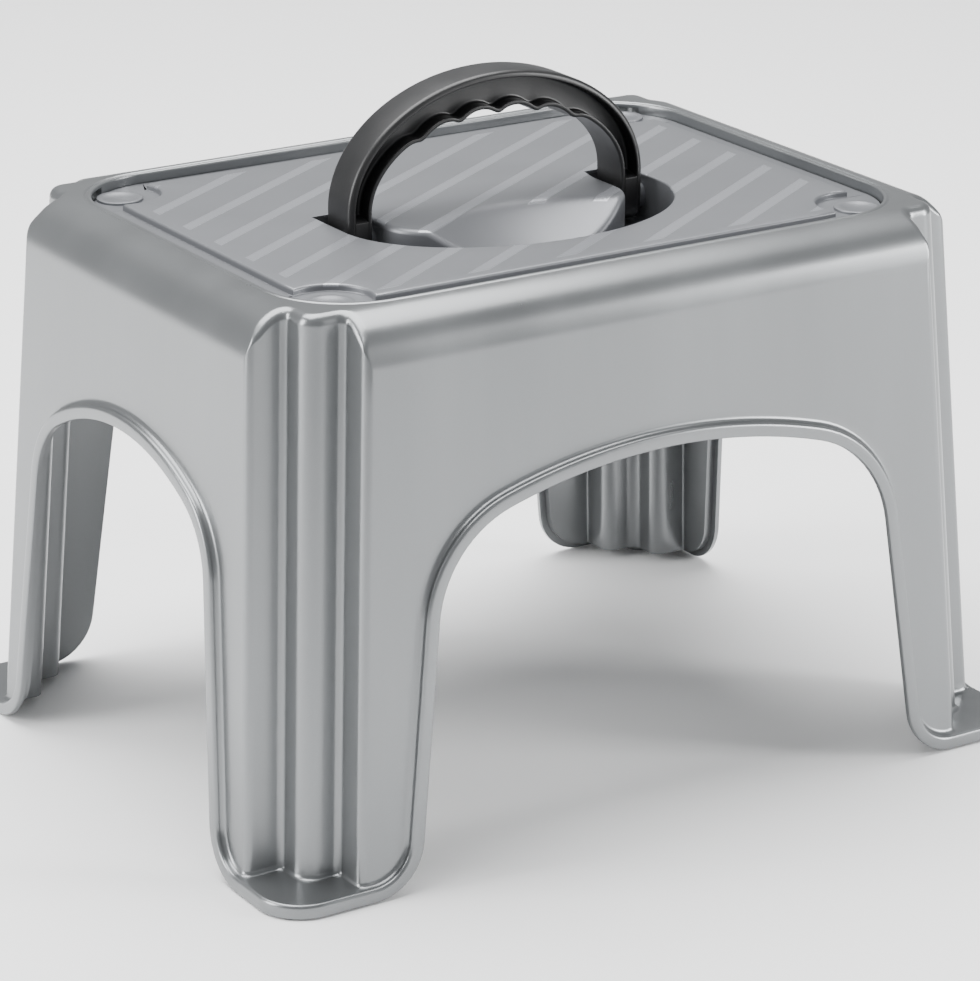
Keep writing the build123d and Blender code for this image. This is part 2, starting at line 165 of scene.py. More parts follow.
class HandleSizes(bpy.types.PropertyGroup):
    leg_width: length_of("Leg width", "Width of a leg seen from the front", 11.2 * MM)
    grip_height: length_of("Grip height", "Outer to inner face at the middle of the grip", 15 * MM)
    shoulder: length_of("Shoulder", "Height above the hinge at which the curve starts", 14 * MM)
    outer_flange: length_of("Outer flange", "Thickness of the outer flange", 3.0 * MM)
    inner_flange: length_of("Inner flange", "Thickness of the inner flange", 2.0 * MM)
    web: length_of("Web", "Thickness of the web between the flanges", 5.0 * MM)
    eye_web: length_of("Eye", "Solid height above the hinge", 12 * MM)
    edge: length_of("Outer edge", "Rounding of the outer edges", 2.2 * MM)
    inner_edge: length_of("Inner edge", "Rounding of the inner edges", 0.9 * MM)
    flange_round: length_of("Flange rounding", "Rounding of the flanges' inward edges", 0.5 * MM)
    grip_ease: length_of("Grip ease", "Length over which the end scallops run out", 8 * MM)
    eye_ease: length_of("Eye ease", "Length over which the web starts above the eye", 2.0 * MM)
    web_fillet: length_of("Web fillet", "Hollow between the web and the flanges", 1.2 * MM)
    cusp_pitch: length_of("Cusp pitch", "From one finger cusp to the next", 19 * MM)
    cusp_height: length_of("Cusp height", "Height of the finger cusps", 3.6 * MM)
    scallop: length_of("Scallop", "Radius of the scallops between the cusps", 14.6 * MM)
    cusp_round: length_of("Cusp rounding", "Length over which a cusp's tip is rounded", 1.6 * MM)


class StageSizes(bpy.types.PropertyGroup):
    azimuth: angle_of("Azimuth", "Direction of the camera round the stool", -32.172)
    elevation: angle_of("Elevation", "Height of the camera above the horizon", 19.773)
    distance: length_of("Distance", "From the camera to the point that it looks at", 1.7928)
    lens: FloatProperty(name="Lens", description="Focal length in millimetres, 36 mm sensor", default=148.24)
    floor: colour_of("Floor", "Colour of the floor", (0.97, 0.97, 0.97))


class Finishes(bpy.types.PropertyGroup):
    silver: colour_of("Silver", "Pigment of the shell", (0.215, 0.223, 0.228))
    satin: colour_of("Satin", "Pigment of the tread", (0.18, 0.185, 0.197))
    black: colour_of("Black", "Pigment of the handle", (0.009, 0.009, 0.0095))
    steel: colour_of("Steel", "Colour of the hinge pins", (0.55, 0.55, 0.56))
    rubber: colour_of("Rubber", "Colour of the foot pads", (0.16, 0.16, 0.165))
    stripe_angle: angle_of("Stripe angle", "Slant of the tread's stripes from the long side", 32.5)
    stripe_pitch: length_of("Stripe pitch", "From one stripe to the next", 23.1 * MM)
    stripe_width: length_of("Stripe width", "Width of a stripe", 5.6 * MM)
    stripe_shift: length_of("Stripe shift", "From the tread's middle to the nearest stripe", 1.5 * MM)
    stripe_margin: length_of("Stripe margin", "From the panel's edge to the stripes' ends", 17 * MM)


# ---- meshes ----------------------------------------------------------------------------------------

def grid_faces(rows, columns, closed_rows, closed_columns):
    """Corner numbers of the quads of a grid, as an array of rows x columns x 4, last to first where closed."""
    r = np.arange(rows if closed_rows else rows - 1)[:, None]
    c = np.arange(columns if closed_columns else columns - 1)[None, :]
    r2 = (r + 1) % rows
    c2 = (c + 1) % columns
    return np.stack([r * columns + c, r * columns + c2, r2 * columns + c2, r2 * columns + c], axis=-1)


def make_piece(name, points, faces, body, slot, material, node=None, sharp=40):
    """A closed smooth mesh: doubles are merged, faces turned outwards, and edges past an angle kept sharp."""
    mesh = bpy.data.meshes.new(name)
    mesh.from_pydata(points.reshape(-1, 3).tolist(), [], faces.reshape(-1, 4).tolist())
    shape = bmesh.new()
    shape.from_mesh(mesh)
    bmesh.ops.remove_doubles(shape, verts=shape.verts, dist=2e-6)
    bmesh.ops.dissolve_degenerate(shape, edges=shape.edges, dist=1e-6)
    bmesh.ops.recalc_face_normals(shape, faces=shape.faces)
    shape.to_mesh(mesh)
    shape.free()
    mesh.polygons.foreach_set("use_smooth", np.ones(len(mesh.polygons), bool))
    mesh.set_sharp_from_angle(angle=math.radians(sharp))
    mesh.update()
    piece = bpy.data.objects.new(name, mesh)
    bpy.context.scene.collection.objects.link(piece)
    piece.data.materials.append(material)
    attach(piece, body)
    if node:
        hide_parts(node)
    return piece


def turned(centre, along, profile, steps):
    """A profile of (distance along, radius) pairs carried round an axis, with both ends drawn to the axis."""
    along = np.array(along, float)
    side = np.array([0.0, 1.0, 0.0]) if abs(along[0]) > 0.5 else np.array([1.0, 0.0, 0.0])
    up = np.cross(along, side)
    angle = np.linspace(0, 2 * np.pi, steps, endpoint=False)[None, :, None]
    profile = np.array(profile)
    reach = profile[:, 0][:, None, None] * along
    spread = profile[:, 1][:, None, None] * (np.cos(angle) * side + np.sin(angle) * up)
    return np.array(centre) + reach + spread


def unit(v):
    """Each vector of an array divided by its length."""
    return v / np.linalg.norm(v, axis=-1, keepdims=True)


def lerp(a, b, q):
    """Points a share q of the way from a to b, one row of points for each share."""
    return a[None] + (b - a)[None] * np.asarray(q)[:, None, None]


def quarter_arc(corner, before, after, radius, steps):
    """Rows of points round a rounded corner: from radius along one direction to radius along the other."""
    t = np.linspace(0, QUARTER, steps)[:, None, None]
    return corner[None] + radius * ((1 - np.sin(t)) * before[None] + (1 - np.cos(t)) * after[None])


# ---- shell -----------------------------------------------------------------------------------------------

def arch_outline(foot, lean, crown, crown_r, shoulder_r, toe_r, floor):
    """Half an arch's outline from its crown to the end of its toe, as (along, up) points and normals.

    It is a crown arc, a shoulder arc tangent to it, a straight leaning leg, and a toe arc into the floor line.
    A normal points into the moulding, so an outline grown by g is the points plus g times the normals.
    """
    tilt = math.atan(lean)
    crown_z = crown - crown_r
    inner = foot - shoulder_r / math.cos(tilt)
    a = 1 + lean ** 2
    b = inner * lean + crown_z
    up = (b + math.sqrt(b * b - a * (inner ** 2 + crown_z ** 2 - (crown_r - shoulder_r) ** 2))) / a
    shoulder = np.array([inner - lean * up, up])
    meet = math.atan2(up - crown_z, shoulder[0])
    corner = np.array([foot - lean * floor, floor])
    run = toe_r * math.tan((QUARTER - tilt) / 2)
    leg_normal = np.array([math.cos(tilt), math.sin(tilt)])
    leg_top = shoulder + shoulder_r * leg_normal
    leg_end = corner + run * np.array([-math.sin(tilt), math.cos(tilt)])
    toe = corner + np.array([run, toe_r])

    crown_turn = np.linspace(QUARTER, meet, 24, endpoint=False)
    shoulder_turn = np.linspace(meet, tilt, 14, endpoint=False)
    toe_turn = np.linspace(tilt, QUARTER, 12)
    turn = np.concatenate([crown_turn, shoulder_turn, np.full(12, tilt), toe_turn])
    normal = np.stack([np.cos(turn), np.sin(turn)], axis=-1)
    down = np.linspace(0, 1, 12, endpoint=False)[:, None]
    points = np.concatenate([
        np.array([0, crown_z]) + crown_r * normal[:24],
        shoulder + shoulder_r * normal[24:38],
        leg_top + down * (leg_end - leg_top),
        toe - toe_r * normal[50:]])
    return points, normal


def notch_outline(size):
    """One leg's notch seen from above, from the mouth on one side to the middle of the rib.

    Points are measured from the leg's virtual corner: a rounded edge, a wall square to the side, a hollow
    groove, a floor, and half of the rounded rib. Returns the points and their outward normals.
    """
    reach, depth = size.notch_reach, size.notch_depth
    edge, groove, rib = size.notch_edge, size.notch_groove, size.notch_rib

    def spin(start, stop, steps):
        turn = np.radians(np.linspace(start, stop, steps))
        return np.stack([np.sin(turn), np.cos(turn)], axis=-1)

    mouth, hollow, half_rib = spin(0, 90, 8), spin(90, 0, 8), spin(0, 45, 8)
    share = np.linspace(0, 1, 6)[1:-1, None]
    wall_top = np.array([-reach, -edge])
    wall_end = np.array([-reach, groove - depth])
    floor_start = np.array([groove - reach, -depth])
    floor_end = np.array([-depth - rib, -depth])
    points = np.concatenate([
        np.array([-reach - edge, -edge]) + edge * mouth,
        wall_top + share * (wall_end - wall_top),
        np.array([groove - reach, groove - depth]) - groove * hollow,
        floor_start + share * (floor_end - floor_start),
        np.array([-depth - rib, -depth - rib]) + rib * half_rib])
    wall_normals, floor_normals = np.tile([1.0, 0.0], (4, 1)), np.tile([0.0, 1.0], (4, 1))
    normals = np.concatenate([mouth, wall_normals, hollow, floor_normals, half_rib])
    return points, normals


def rounded_corner(half_x, half_y, radius, along):
    """Points at distances along a rounded rectangle's first quarter, from (0, half_y) towards (half_x, 0)."""
    straight = half_x - radius
    turn = np.clip((along - straight) / radius, 0, QUARTER)
    rest = np.maximum(along - straight - radius * QUARTER, 0)
    x = np.minimum(along, straight) + radius * np.sin(turn)
    y = half_y - radius + radius * np.cos(turn) - rest
    return np.stack([x, y], axis=-1)


def run_length(points):
    """Distance along a line of points, from its first one."""
    return np.concatenate([[0], np.cumsum(np.linalg.norm(np.diff(points, axis=0), axis=-1))])


def inset_of(points, half_x, half_y, radius):
    """How far points lie inside a rounded rectangle's edge."""
    corner = np.maximum(np.abs(points) - (np.array([half_x, half_y]) - radius), 0)
    flat = np.minimum(np.array([half_x, half_y]) - np.abs(points), radius).min(axis=-1)
    rounded = radius - np.linalg.norm(corner, axis=-1)
    return np.where((corner > 0).all(axis=-1), rounded, flat)


class StoolShell:
    """Columns of the shell's skin, for one quarter, from the front arch's crown to the side arch's crown."""

    def __init__(self, size):
        self.size = size
        self.floor = SHELL_LOW.z
        self.top = SHELL_HIGH.z
        self.foot_x = SHELL_HIGH.x + size.draft * self.floor
        self.foot_y = SHELL_HIGH.y + size.draft * self.floor
        self.side = np.array([self.foot_x, self.foot_y]) - size.lip_step
        self.rim = self.side - size.draft * self.top - size.rim_inset
        self.grow = size.lip_band
        front = self.half(0, size.front_foot, size.front_lean, size.front_crown, size.front_crown_r,
                          size.front_shoulder)
        side = self.half(1, size.side_foot, size.side_lean, size.side_crown, size.side_crown_r,
                         size.side_shoulder)
        for name, first in front.items():
            second = side[name]
            if first.ndim == 2:
                second = second[:, [1, 0, 2]]
            setattr(self, name, np.concatenate([first, second[-2::-1]]))

    def half(self, axis, foot, lean, crown, crown_r, shoulder_r):
        """Columns from one arch's crown to the rib's middle, as if that arch faced along the second axis."""
        size = self.size
        half = self.side[[axis, 1 - axis]]
        lip = half + size.lip_step
        rim = self.rim[[axis, 1 - axis]]
        outline, normal = arch_outline(foot, lean, crown, crown_r, shoulder_r, size.toe, self.floor)
        notch, notch_normal = notch_outline(size)
        arches, notches = len(outline), len(notch)

        # the line where the wall meets the edging, and the edging's outer line
        level = outline + self.grow * normal
        mouth = half[0] - size.draft * level[-1, 1] - size.notch_reach - size.notch_edge
        across = level[:, 0].copy()
        leg_end = arches - 12
        spare = (mouth - 0.4 * MM - across[leg_end]) / (across[-1] - across[leg_end])
        across[leg_end:] = across[leg_end] + (across[leg_end:] - across[leg_end]) * min(1, spare)
        wall_y = half[1] - size.draft * level[:, 1]
        base = np.stack([across, wall_y, level[:, 1]], axis=-1)
        outer = np.stack([level[:, 0], wall_y + size.lip_step, level[:, 1]], axis=-1)
        edge = np.stack([outline[:, 0], lip[1] - size.draft * outline[:, 1], outline[:, 1]], axis=-1)

        plate = self.floor + self.grow
        notch_base = np.column_stack([notch + half - size.draft * plate, np.full(notches, plate)])
        walk = run_length(notch)
        start = outline[-1, 0]
        stop = lip[0] - size.draft * plate - size.foot_corner + size.foot_corner * QUARTER / 2
        along = start + (stop - start) * (walk + MM) / (walk[-1] + MM)
        at_plate = rounded_corner(*(lip - size.draft * plate), size.foot_corner, along)
        at_floor = rounded_corner(*(lip - size.draft * self.floor), size.foot_corner, along)
        notch_outer = np.column_stack([at_plate, np.full(notches, plate)])
        notch_edge = np.column_stack([at_floor, np.full(notches, self.floor)])

        # the top of the wall: face columns fan out evenly, notch columns run straight up
        tangent = self.top - size.edge_round * (1 - math.sin(math.atan(size.draft)))
        top_mouth = half[0] - size.draft * tangent - size.notch_reach - size.notch_edge
        share = across / across[-1]
        head_x = share * (top_mouth - 0.3 * MM)
        head_y, head_z = np.full(arches, half[1] - size.draft * tangent), np.full(arches, tangent)
        head = np.stack([head_x, head_y, head_z], axis=-1)
        rise = np.full(notches, self.top)
        for _ in range(4):
            plan = notch + half - size.draft * rise[:, None]
            rise = self.form_height(plan if axis == 0 else plan[:, ::-1]) - self.top_fillet(plan, axis)
            rise = np.maximum(rise, tangent)
        notch_head = np.column_stack([notch + half - size.draft * rise[:, None], rise])
        heads = np.concatenate([head, notch_head])

        # where each column meets the rim: evenly along the straight, then gathered towards the corner
        walk = run_length(heads[:, :2])
        edge_walk = walk[arches]
        straight = rim[0] - size.rim_corner
        middle = straight + size.rim_corner * QUARTER / 2
        before_corner, into_corner = straight - 17 * MM, straight + 5 * MM
        knots = [0, before_corner, edge_walk, walk[-1]]
        rim_at = np.interp(walk, knots, [0, before_corner, into_corner, middle])
        rim = rounded_corner(*rim, size.rim_corner, rim_at)
        rim = np.column_stack([rim, np.full(len(rim), self.top)])

        up = np.concatenate([np.stack([normal[:, 0], -size.draft * normal[:, 1], normal[:, 1]], axis=-1),
                             np.tile([-size.draft, -size.draft, 1.0], (notches, 1))])
        inward = np.concatenate([np.tile([0.0, -1.0, 0.0], (arches, 1)),
                                 np.column_stack([-notch_normal, np.zeros(notches)])])
        return {"base": np.concatenate([base, notch_base]), "outer": np.concatenate([outer, notch_outer]),
                "edge": np.concatenate([edge, notch_edge]), "head": heads, "rim_line": rim,
                "up": unit(up), "inward": inward, "rim_walk": rim_at - middle}

    def form_height(self, plan):
        """Height of the rounded top at points seen from above: a quarter circle from the sides into the flat."""
        size = self.size
        centre_z = self.top - size.edge_round
        half = self.side - size.draft * centre_z
        centre = size.edge_round / math.cos(math.atan(size.draft))
        inset = inset_of(plan, *half, size.top_corner)
        back = np.clip(centre - inset, 0, size.edge_round)
        return centre_z + np.sqrt(size.edge_round ** 2 - back ** 2)

    def top_fillet(self, plan, axis=0):
        """Radius of the rounding at the top of the wall: none on the sides, growing into each notch."""
        size = self.size
        half = self.side - size.draft * (self.top - size.edge_round)
        inset = inset_of(plan if axis == 0 else plan[:, ::-1], *half, size.top_corner)
        share = np.clip(inset / (2 * size.notch_edge), 0, 1)
        return size.notch_top * share * share * (3 - 2 * share)

    def crown_rows(self, heads, rims, drop, steps):
        """Rows from the wall's top to the rim's land: the rounded form, less a small round next to the wall."""
        length = np.linalg.norm((rims - heads)[:, :2], axis=-1)
        land = 1 - self.size.land / length
        turn = np.linspace(0, QUARTER, steps)[:, None]
        share = (1 - np.cos(turn)) * land[None]
        plan = heads[None, :, :2] + (rims - heads)[None, :, :2] * share[..., None]
        wall_r = self.top_fillet(heads[:, :2])
        away, fillet = nearest(plan, heads[:, :2], wall_r)
        inside = np.clip(fillet - away, 0, None)
        lower = fillet - np.sqrt(np.maximum(fillet ** 2 - inside ** 2, 0))
        height = self.form_height(plan) - lower - drop
        height[0] = heads[:, 2] - drop
        return np.concatenate([plan, height[..., None]], axis=-1)


def all_round(rows):
    """A quarter's rows mirrored into the whole ring, from the rear arch's crown round the right end."""
    right_rear = rows
    right_front = rows[:, ::-1] * [1, -1, 1]
    left_front = rows * [-1, -1, 1]
    left_rear = rows[:, ::-1] * [-1, 1, 1]
    quarters = [right_rear, right_front, left_front, left_rear]
    return np.concatenate([quarter[:, :-1] for quarter in quarters], axis=1)


def pocket_line(half, rise, grow=0.0):
    """The outline of the handle's pocket or hump, as 80 points from the back left round to the back right.

    The sides are straight from the back wall to the shoulder, and a half ellipse joins them at the front.
    """
    panel, handle = bpy.context.scene.stool_panel, bpy.context.scene.stool_handle
    back, shoulder = panel.pocket_back + grow, -handle.shoulder
    turn = np.linspace(0, np.pi, 66)[1:-1]
    side = np.linspace(back, shoulder, 8)
    left = np.column_stack([np.full(8, -half - grow), side])
    bend = np.column_stack([-(half + grow) * np.cos(turn), shoulder - (rise + grow) * np.sin(turn)])
    return np.concatenate([left, bend, left[::-1] * [-1, 1]])


def pocket_sizes():
    """Half width and rise of the pocket and of the hump, round the folded handle."""
    panel, handle = bpy.context.scene.stool_panel, bpy.context.scene.stool_handle
    rise = HANDLE_HIGH.z - HANDLE_LOW.z - HANDLE_HIGH.y - handle.shoulder
    inner_rise = rise - handle.grip_height - handle.cusp_height
    return (HANDLE_HIGH.x + panel.pocket_gap, rise + panel.pocket_gap,
            HANDLE_HIGH.x - handle.leg_width - panel.hump_gap, inner_rise - panel.grip_gap)


def hole_line(toward, size):
    """The D-shaped hole in the deck, in the directions of the given points from a point inside it."""
    half, rise, _, _ = pocket_sizes()
    panel = bpy.context.scene.stool_panel
    front = pocket_line(half, rise, panel.wall + size.hole_gap)
    line = np.concatenate([front, front[:1]])
    steps = [np.linspace(start, stop, 20, endpoint=False) for start, stop in zip(line[:-1], line[1:])]
    dense = np.concatenate(steps)
    centre = np.array([0, -20 * MM])
    angle = np.arctan2(*(dense - centre).T[::-1])
    order = np.argsort(angle)
    wanted = np.arctan2(*(toward - centre).T[::-1])
    distance = np.linalg.norm(dense - centre, axis=-1)
    reach = np.interp(wanted, angle[order], distance[order], period=2 * np.pi)
    return centre + reach[:, None] * np.stack([np.cos(wanted), np.sin(wanted)], axis=-1)


def shell_rows(size):
    """The shell's whole skin as one closed grid, each column a closed section through the moulding.

    A section runs from the deck's hole over the deck, up the recess, over the rim and its bead, round the top,
    down the wall, out over the edging to its edge, and back inside at the wall's thickness to the hole again.
    Returns the points and, for the catch slots, the two rows above and below them inside and outside.
    """
    s = StoolShell(size)
    wall = size.wall
    deck_z = s.top - size.rim_drop
    rim_out = np.zeros_like(s.rim_line)
    rim_out[:, :2] = unit((s.head - s.rim_line)[:, :2])

    def on_rim(out, z):
        """The rim's line moved outwards and set to a height."""
        row = s.rim_line + rim_out * out
        row[:, 2] = z
        return row[None]

    slot_low, slot_high = deck_z + size.slot_floor, deck_z + size.slot_floor + size.slot_height
    crest = size.rim_crest
    recess = [on_rim(0, deck_z), on_rim(0, slot_low), on_rim(0, slot_high)]
    turn = np.linspace(0, QUARTER, 5)
    rounding = [on_rim(crest * (1 - math.cos(t)), s.top - crest * (1 - math.sin(t))) for t in turn]
    away = np.linspace(crest, size.land, 11)[1:]
    wave = np.clip((away - size.bead_width) / size.groove_width, 0, 1)
    dip = size.bead_groove * (1 - np.cos(2 * np.pi * wave)) / 2
    bead = [on_rim(a, s.top - d) for a, d in zip(away[:-1], dip[:-1])]
    top = s.crown_rows(s.head, s.rim_line, 0, 28)[::-1]

    foot_side = unit(s.outer - s.base)
    band = unit(s.edge - s.outer)
    fillet, rounded, tip = size.lip_fillet, size.lip_round, size.lip_tip
    hollow = quarter_arc(s.base, s.up, foot_side, fillet, 6)
    side = lerp(s.head, hollow[0], np.linspace(0, 1, 14)[1:-1])
    shoulder = quarter_arc(s.outer, -foot_side, band, rounded, 6)
    lip = quarter_arc(s.edge, -band, -foot_side, tip, 4)
    turned_in = lerp(s.edge - wall * foot_side, s.outer - wall * foot_side + wall * band, [0, 1])
    inner_base = s.base + wall * s.inward + wall * band
    inner_head = s.head + wall * s.inward
    inner_head[:, 2] -= 0.5 * wall
    rim_behind = s.rim_line + rim_out * wall
    inner_side = lerp(inner_base, inner_head, np.linspace(0, 1, 8))
    inner_top = s.crown_rows(inner_head + [0, 0, wall], rim_behind, wall, 12)[1:]
    under = [on_rim(wall, s.top - wall), on_rim(wall, slot_high), on_rim(wall, slot_low),
             on_rim(wall, deck_z - size.deck)]

    before = all_round(np.concatenate([*recess, *rounding, *bead, top, side, hollow, shoulder, lip, turned_in,
                                       inner_side, inner_top, *under]))
    hole = hole_line(before[0, :, :2], size)
    low = np.column_stack([hole, np.full(len(hole), deck_z - size.deck)])
    high = np.column_stack([hole, np.full(len(hole), deck_z)])
    rows = np.concatenate([high[None], before, low[None]])
    last = len(rows)
    slots = (2, 3, last - 4, last - 3)
    walk = s.rim_walk  # distance along the rim from the corner's middle
    return rows, slots, np.concatenate([walk[:-1], walk[:0:-1]] * 2)


def with_slots(faces, slots, walk, size):
    """The grid's faces with a tunnel through the recess wall wherever the rim is near a corner's middle."""
    columns = faces.shape[1]
    low, high, back_high, back_low = slots
    cut = (np.abs(walk) < size.slot_length / 2) & (np.abs(np.roll(walk, -1)) < size.slot_length / 2)
    keep = np.ones(faces.shape[:2], bool)
    keep[low, cut] = False
    keep[back_high, cut] = False
    c = np.flatnonzero(cut)
    c2 = (c + 1) % columns
    first = np.flatnonzero(cut & ~np.roll(cut, 1))
    final = (np.flatnonzero(cut & ~np.roll(cut, -1)) + 1) % columns
    ends = np.concatenate([first, final])

    def at(row, column):
        return row * columns + column

    floor = np.stack([at(low, c), at(low, c2), at(back_low, c2), at(back_low, c)], axis=-1)
    ceiling = np.stack([at(high, c), at(high, c2), at(back_high, c2), at(back_high, c)], axis=-1)
    jambs = np.stack([at(low, ends), at(high, ends), at(back_high, ends), at(back_low, ends)], axis=-1)
    return np.concatenate([faces[keep], floor, ceiling, jambs])


def rib_plates(size):
    """The ribs under the deck: thin upright plates whose tops stop inside the deck and the rounded edge."""
    s = StoolShell(size)
    panel = bpy.context.scene.stool_panel
    clear = panel.wall + size.hole_gap + size.rib_offset
    deck_z = s.top - size.rim_drop
    low = deck_z - size.deck - size.rib_depth
    reach = s.side - size.draft * low - size.wall + MM
    first_long, first_cross = panel.pocket_back + clear, pocket_sizes()[0] + clear
    second_cross = first_cross + size.cross_rib_gap
    places = [(0, first_long), (0, first_long + size.long_rib_gap), (1, first_cross), (1, second_cross),
              (1, -first_cross), (1, -second_cross)]
    stations = 81
    points = []
    for axis, place in places:
        plan = np.full((stations, 2), place)
        plan[:, axis] = np.linspace(-reach[axis], reach[axis], stations)
        top = np.minimum(deck_z - size.deck / 2, s.form_height(plan) - size.wall / 2)
        thick = np.roll([0.0, size.rib_thickness / 2], axis)
        bottom = np.full(stations, low)
        corners = [(plan - thick, bottom), (plan + thick, bottom), (plan + thick, top), (plan - thick, top)]
        points.append(np.stack([np.column_stack(corner) for corner in corners], axis=1))
    skin = grid_faces(stations, 4, closed_rows=False, closed_columns=True).reshape(-1, 4)
    ends = np.array([[0, 1, 2, 3], [0, 1, 2, 3]]) + [[0], [4 * (stations - 1)]]
    plate = np.concatenate([skin, ends])
    return np.stack(points), np.concatenate([plate + 4 * stations * i for i in range(len(places))])


# ---- tread panel ---------------------------------------------------------------------------------------

def nearest(plan, line, value):
    """Distance from each point to a line of points, and the line's value at the nearest place."""
    start, step = line[:-1], np.diff(line, axis=0)
    size = np.maximum((step ** 2).sum(axis=-1), 1e-14)
    offset = plan[:, :, None] - start
    share = np.clip((offset * step).sum(axis=-1) / size, 0, 1)
    gap = np.linalg.norm(offset - share[..., None] * step, axis=-1)
    best = gap.argmin(axis=-1)[..., None]
    share = np.take_along_axis(share, best, -1)[..., 0]
    best = best[..., 0]
    return gap.min(axis=-1), value[best] + share * (value[best + 1] - value[best])


def hump_height(plan, size):
    """Height of the hump's top: flush with the tread, less the finger scoop, a tilted hollow cylinder."""
    slope = size.scoop_slope
    bowl = size.scoop_bend - np.sqrt(size.scoop_bend ** 2 - plan[..., 0] ** 2)
    scoop = bowl / math.cos(slope) + (plan[..., 1] + size.scoop_start) * math.tan(slope)
    ease = size.scoop_ease
    return PANEL_HIGH.z - ease * np.logaddexp(0, -scoop / ease)


def trench_rows(size):
    """The trench for the folded handle: one section across it, carried round from the left leg to the right.

    A section goes over the mouth's rounded edge, down the outer wall, round the floor, and up the hump's wall
    to where the hump's own edge begins.
    """
    half, rise, hump_half, hump_rise = pocket_sizes()
    outer, inner = pocket_line(half, rise), pocket_line(hump_half, hump_rise)
    across = unit(inner - outer)
    width = np.linalg.norm(inner - outer, axis=-1)
    top, floor = PANEL_HIGH.z, PANEL_LOW.z + size.wall
    head = hump_height(inner, size)
    fade = np.clip((size.pocket_back - inner[:, 1]) / size.hump_fade, 0, 1)
    fade = fade * fade * (3 - 2 * fade)
    hump_edge = np.minimum(size.hump_edge * fade, 0.5 * (head - floor))
    fillet = np.minimum(size.floor_fillet, 0.4 * (head - floor))
    turn = np.linspace(0, QUARTER, 6)[:, None]
    lip = size.pocket_edge
    ones = np.ones((1, len(width)))
    reach = np.concatenate([lip * (np.sin(turn) - 1) * ones, fillet * (1 - np.cos(turn)),
                            width - fillet * (1 - np.sin(turn)), width * np.ones((6, 1))])
    climb = np.linspace(0, 1, 7)[1:, None]
    height = np.concatenate([top - lip * (1 - np.cos(turn)) * ones, floor + fillet * (1 - np.sin(turn)),
                             floor + fillet * (1 - np.cos(turn)),
                             floor + fillet + climb * (head - hump_edge - floor - fillet)])
    plan = outer[None] + reach[..., None] * across[None]
    return np.concatenate([plan, height[..., None]], axis=-1), hump_edge


def hump_rows(size, edge, hump_edge):
    """The hump's top, from its edge to the straight line where it runs on into the tread at the back."""
    side = np.linspace(0, np.pi, edge.shape[0])
    back = np.column_stack([edge[0, 0] * np.cos(side), np.full(len(side), size.pocket_back)])
    turn = np.linspace(0, QUARTER, 26)[:, None, None]
    plan = edge[None, :, :2] + (back - edge[:, :2])[None] * (1 - np.cos(turn))
    away, fillet = nearest(plan, edge[:, :2], hump_edge)
    inside = np.clip(fillet - away, 0, None)
    height = hump_height(plan, size) - (fillet - np.sqrt(np.maximum(fillet ** 2 - inside ** 2, 0)))
    height[0] = edge[:, 2]
    height[-1] = PANEL_HIGH.z
    return np.concatenate([plan, height[..., None]], axis=-1)


def tread_outline(size, rim, grow):
    """The raised tread's outline, grown outwards: straight sides with a round cut at each corner, eased.

    It has 160 points from the middle of the left side, round the front, and back along the rear.
    """
    half = rim - size.margin + grow
    centre = rim - size.cut_inset
    cut = size.cut_r - grow
    from_side = math.acos((half[0] - centre[0]) / cut)
    from_end = math.asin((half[1] - centre[1]) / cut)
    start, stop = np.pi - from_side, -from_end
    turn = np.linspace(start, stop, 60)
    cut_line = -centre + cut * np.column_stack([np.cos(turn), np.sin(turn)])
    side = np.linspace([-half[0], size.pocket_back], cut_line[0], 40, endpoint=False)
    front = np.linspace(cut_line[-1], [-cut_line[-1][0], cut_line[-1][1]], 120)[1:-1]
    mirror_cut = cut_line[::-1] * [-1, 1]
    front_half = np.concatenate([side, cut_line, front, mirror_cut, side[::-1] * [-1, 1]])
    rear_cut = cut_line * [-1, -1]
    rear_side = np.linspace([half[0], size.pocket_back], rear_cut[0], 40, endpoint=False)[1:]
    rear = np.linspace(rear_cut[-1], rear_cut[-1] * [-1, 1], 120)[1:-1]
    rear_half = np.concatenate([rear_side, rear_cut, rear, rear_cut[::-1] * [-1, 1],
                                rear_side[::-1] * [-1, 1]])
    line = np.concatenate([front_half, rear_half])
    closed = np.concatenate([line, line[:1]])
    walk = run_length(closed)
    front_marks = np.cumsum([0, len(side), len(cut_line) - 1, len(front) + 1, len(cut_line) - 1, len(side)])
    rear_marks = len(front_half) - 1 + np.cumsum([0, len(rear_side) + 1, len(rear_cut) - 1, len(rear) + 1,
                                                  len(rear_cut) - 1, len(rear_side) + 1])
    wanted = np.concatenate([
        np.interp(np.arange(80), [0, 11, 27, 52, 68, 79], walk[front_marks]),
        np.interp(np.arange(81), [0, 10, 26, 54, 70, 80], walk[rear_marks])[:-1]])
    spread = np.linspace(-1, 1, 9)[:, None] * size.ease
    at = (wanted[None] + spread) % walk[-1]
    return np.stack([np.interp(at, walk, closed[:, i]).mean(axis=0) for i in range(2)], axis=-1)


